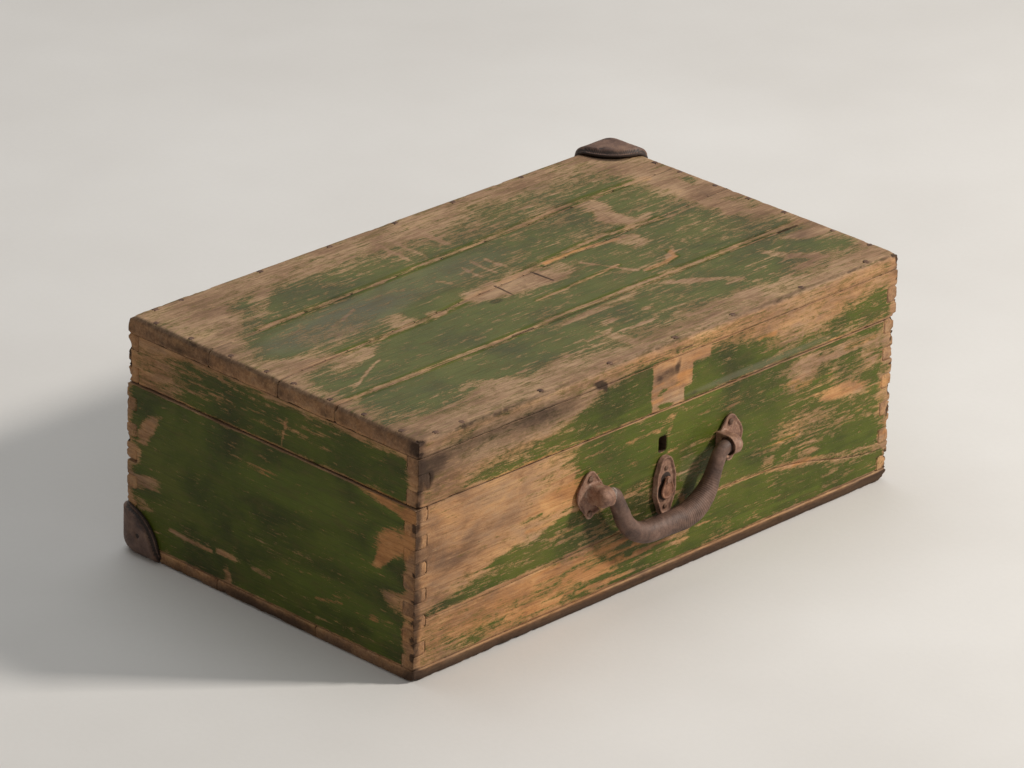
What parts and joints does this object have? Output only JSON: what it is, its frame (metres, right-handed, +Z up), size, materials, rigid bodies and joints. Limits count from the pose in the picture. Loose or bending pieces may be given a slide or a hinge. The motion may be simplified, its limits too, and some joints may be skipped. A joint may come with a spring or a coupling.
{
  "type": "wooden travelling chest",
  "caption": "Low wooden chest of finger-jointed painted boards with a deep hinged plank lid, a swinging bail handle, a lock with a keyhole cover and two corner caps.",
  "frame": {"origin": "centre of the underside of the box, in the plane it stands on", "axes": "+X to the right along the front, +Y from the front to the hinges at the back, +Z up; the front with the handle faces -Y"},
  "size_m": [0.6104, 0.3907, 0.2262],
  "materials": {
    "painted_wood": "worn matt green paint over bare softwood",
    "bare_wood": "bare, dry and dirty softwood",
    "rusted_iron": "rust-brown, matt",
    "rusted_steel": "rusted nail and screw steel",
    "dark_steel": "aged dark steel with light rust",
    "leather_grip": "old brown leather with fine cross wrinkles",
    "corner_leather": "stiff dark brown leather, stitched edge"
  },
  "bodies": {
    "box": {"back_lower_board": "painted_wood", "back_upper_board": "painted_wood", "bottom_nails": "rusted_steel", "bottom_plank_back": "bare_wood", "bottom_plank_front": "bare_wood", "bottom_plank_middle": "bare_wood", "bracket_nails": "rusted_steel", "corner_cap_bottom": "corner_leather", "corner_cap_bottom_nails": "rusted_steel", "cover_rivet": "rusted_iron", "escutcheon_nails": "rusted_steel", "escutcheon_plate": "rusted_iron", "front_lower_board": "painted_wood", "front_upper_board": "painted_wood", "handle_bracket_left": "rusted_iron", "handle_bracket_right": "rusted_iron", "hinge_box_screws": "rusted_steel", "left_end_board": "painted_wood", "left_hinge_box_leaf": "dark_steel", "left_hinge_pin": "dark_steel", "lock_case": "dark_steel", "lock_case_screws": "dark_steel", "right_end_board": "painted_wood", "right_hinge_box_leaf": "dark_steel", "right_hinge_pin": "dark_steel"},
    "lid": {"lid_back_rail": "painted_wood", "lid_front_rail": "painted_wood", "lid_left_rail": "painted_wood", "lid_nails": "rusted_steel", "lid_plank_1": "painted_wood", "lid_plank_2": "painted_wood", "lid_plank_3": "painted_wood", "lid_plank_4": "painted_wood", "lid_right_rail": "painted_wood", "left_hinge_lid_leaf": "dark_steel", "right_hinge_lid_leaf": "dark_steel", "hinge_lid_screws": "rusted_steel", "corner_cap_top": "corner_leather", "corner_cap_top_nails": "rusted_steel"},
    "handle": {"handle_core": "rusted_iron", "handle_grip": "leather_grip"},
    "keyhole_cover": {"keyhole_cover": "rusted_iron"},
    "lock_bolt": {"lock_bolt": "dark_steel"}
  },
  "joints": [
    {"name": "lid_hinge", "type": "hinge", "parent": "box", "child": "lid", "pos_m": [0, 0.1825, 0.1605], "axis": [-1, 0, 0], "range_deg": [0, 180]},
    {"name": "handle_swing", "type": "hinge", "parent": "box", "child": "handle", "pos_m": [-0.005, -0.193, 0.111], "axis": [-1, 0, 0], "range_deg": [0, 175]},
    {"name": "keyhole_cover_swing", "type": "hinge", "parent": "box", "child": "keyhole_cover", "pos_m": [0.001, -0.1839, 0.0965], "axis": [0, 1, 0], "range_deg": [-90, 90]},
    {"name": "lock_bolt_slide", "type": "slide", "parent": "box", "child": "lock_bolt", "axis": [-1, 0, 0], "range_m": [0, 0.012]}
  ]
}
